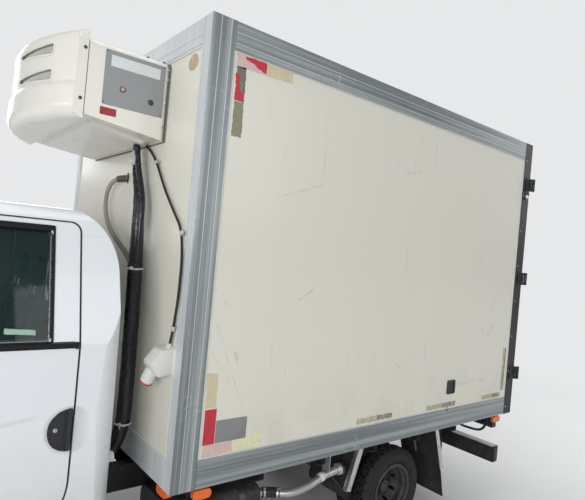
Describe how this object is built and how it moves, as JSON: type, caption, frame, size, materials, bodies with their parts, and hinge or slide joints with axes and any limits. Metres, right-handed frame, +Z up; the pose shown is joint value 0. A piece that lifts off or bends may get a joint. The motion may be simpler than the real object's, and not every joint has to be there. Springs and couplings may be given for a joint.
{
  "type": "refrigerated truck",
  "caption": "Light forward-control truck with an insulated box body, a front-wall refrigeration unit, steerable front wheels, twin rear wheels, swinging cab doors and rear leaves.",
  "frame": {"origin": "on the ground under the middle of the bounding box", "axes": "+X points forward, +Y to the truck's left side, +Z up"},
  "size_m": [5.184, 2.12, 2.92],
  "materials": {
    "white_paint": "gloss",
    "box_panel": "satin",
    "edge_aluminium": "satin",
    "black_steel": "satin",
    "dark_casting": "matte",
    "pipe_steel": "satin",
    "zinc_gear": "satin",
    "unit_shell": "satin",
    "black_rubber": "matte",
    "grey_hose": "matte",
    "socket_plastic": "satin",
    "clear_glass": "gloss",
    "lamp_lens": "gloss",
    "red_lens": "gloss",
    "amber_lens": "gloss",
    "dark_trim": "matte",
    "seat_fabric": "matte",
    "tyre_rubber": "matte",
    "wheel_steel": "satin"
  },
  "bodies": {
    "truck_frame": {"cab_roof": "white_paint", "cab_back": "white_paint", "cab_front": "white_paint", "front_bumper": "white_paint", "box_side_walls": "box_panel", "box_front_wall": "box_panel", "box_roof": "box_panel", "box_floor": "box_panel", "edge_extrusions": "edge_aluminium", "rear_frame": "black_steel", "frame_rails": "black_steel", "cross_members": "black_steel", "cross_bearers": "black_steel", "underrun_bar": "black_steel", "leaf_springs": "black_steel", "fuel_tank": "black_steel", "front_axle": "dark_casting", "rear_axle": "dark_casting", "engine_block": "dark_casting", "exhaust": "pipe_steel", "filler_pipe": "pipe_steel", "door_hinge_brackets": "zinc_gear", "condenser_housing": "unit_shell", "condenser_cover": "unit_shell", "evaporator": "unit_shell", "hose_bundle": "black_rubber", "power_cable": "black_rubber", "mudguards": "black_rubber", "drain_hose": "grey_hose", "standby_socket": "socket_plastic", "cab_windows": "clear_glass", "headlamps": "lamp_lens", "tail_lamps": "red_lens", "marker_lamps": "amber_lens", "dashboard": "dark_trim", "cab_floor": "dark_trim", "seats": "seat_fabric"},
    "steer_left": {"knuckle_left": "dark_casting"},
    "steer_right": {"knuckle_right": "dark_casting"},
    "tie_rod": {"track_rod": "dark_casting"},
    "front_wheel_left": {"front_tyre_left": "tyre_rubber", "front_rim_left": "wheel_steel"},
    "front_wheel_right": {"front_tyre_right": "tyre_rubber", "front_rim_right": "wheel_steel"},
    "rear_wheels_left": {"rear_tyres_left": "tyre_rubber", "rear_rims_left": "wheel_steel"},
    "rear_wheels_right": {"rear_tyres_right": "tyre_rubber", "rear_rims_right": "wheel_steel"},
    "left_cab_door": {"cab_door_left": "white_paint", "door_glass_left": "clear_glass", "mirror_left": "dark_trim"},
    "right_cab_door": {"cab_door_right": "white_paint", "door_glass_right": "clear_glass", "mirror_right": "dark_trim"},
    "left_rear_leaf": {"rear_door_left": "box_panel", "rear_door_gear_left": "zinc_gear"},
    "right_rear_leaf": {"rear_door_right": "box_panel", "rear_door_gear_right": "zinc_gear"},
    "hand_wheel": {"steering_wheel": "dark_trim"}
  },
  "joints": [
    {"name": "steer_left_pivot", "type": "hinge", "parent": "truck_frame", "child": "steer_left", "pos_m": [1.382, 0.667, 0.327], "axis": [0, 0, 1], "range_deg": [-32, 32]},
    {"name": "steer_right_pivot", "type": "hinge", "parent": "truck_frame", "child": "steer_right", "pos_m": [1.382, -0.667, 0.327], "axis": [0, 0, 1], "range_deg": [-32, 32]},
    {"name": "tie_rod_pivot", "type": "hinge", "parent": "steer_left", "child": "tie_rod", "pos_m": [1.212, 0.61, 0.2225], "axis": [0, 0, 1], "range_deg": [-34.88, 34.88]},
    {"name": "hand_wheel_turn", "type": "hinge", "parent": "truck_frame", "child": "hand_wheel", "pos_m": [1.752, 0.38, 1.215], "axis": [-0.788, 0, 0.6157], "range_deg": [-448, 448]},
    {"name": "front_left_roll", "type": "hinge", "parent": "steer_left", "child": "front_wheel_left", "pos_m": [1.382, 0.7425, 0.327], "axis": [0, 1, 0], "continuous": true},
    {"name": "front_right_roll", "type": "hinge", "parent": "steer_right", "child": "front_wheel_right", "pos_m": [1.382, -0.7425, 0.327], "axis": [0, 1, 0], "continuous": true},
    {"name": "rear_left_roll", "type": "hinge", "parent": "truck_frame", "child": "rear_wheels_left", "pos_m": [-1.318, 0.66, 0.2875], "axis": [0, 1, 0], "continuous": true},
    {"name": "rear_right_roll", "type": "hinge", "parent": "truck_frame", "child": "rear_wheels_right", "pos_m": [-1.318, -0.66, 0.2875], "axis": [0, 1, 0], "continuous": true},
    {"name": "left_cab_door_swing", "type": "hinge", "parent": "truck_frame", "child": "left_cab_door", "pos_m": [1.797, 0.872, 1], "axis": [0, 0, -1], "range_deg": [0, 65]},
    {"name": "right_cab_door_swing", "type": "hinge", "parent": "truck_frame", "child": "right_cab_door", "pos_m": [1.797, -0.872, 1], "axis": [0, 0, 1], "range_deg": [0, 65]},
    {"name": "left_leaf_swing", "type": "hinge", "parent": "truck_frame", "child": "left_rear_leaf", "pos_m": [-2.57, 0.98, 1.82], "axis": [0, 0, -1], "range_deg": [0, 260]},
    {"name": "right_leaf_swing", "type": "hinge", "parent": "truck_frame", "child": "right_rear_leaf", "pos_m": [-2.57, -0.98, 1.82], "axis": [0, 0, 1], "range_deg": [0, 260]}
  ],
  "couplings": [
    {"joint": "steer_right_pivot", "follows": "steer_left_pivot", "ratio": 1},
    {"joint": "tie_rod_pivot", "follows": "steer_left_pivot", "ratio": -1.09},
    {"joint": "hand_wheel_turn", "follows": "steer_left_pivot", "ratio": 14}
  ]
}
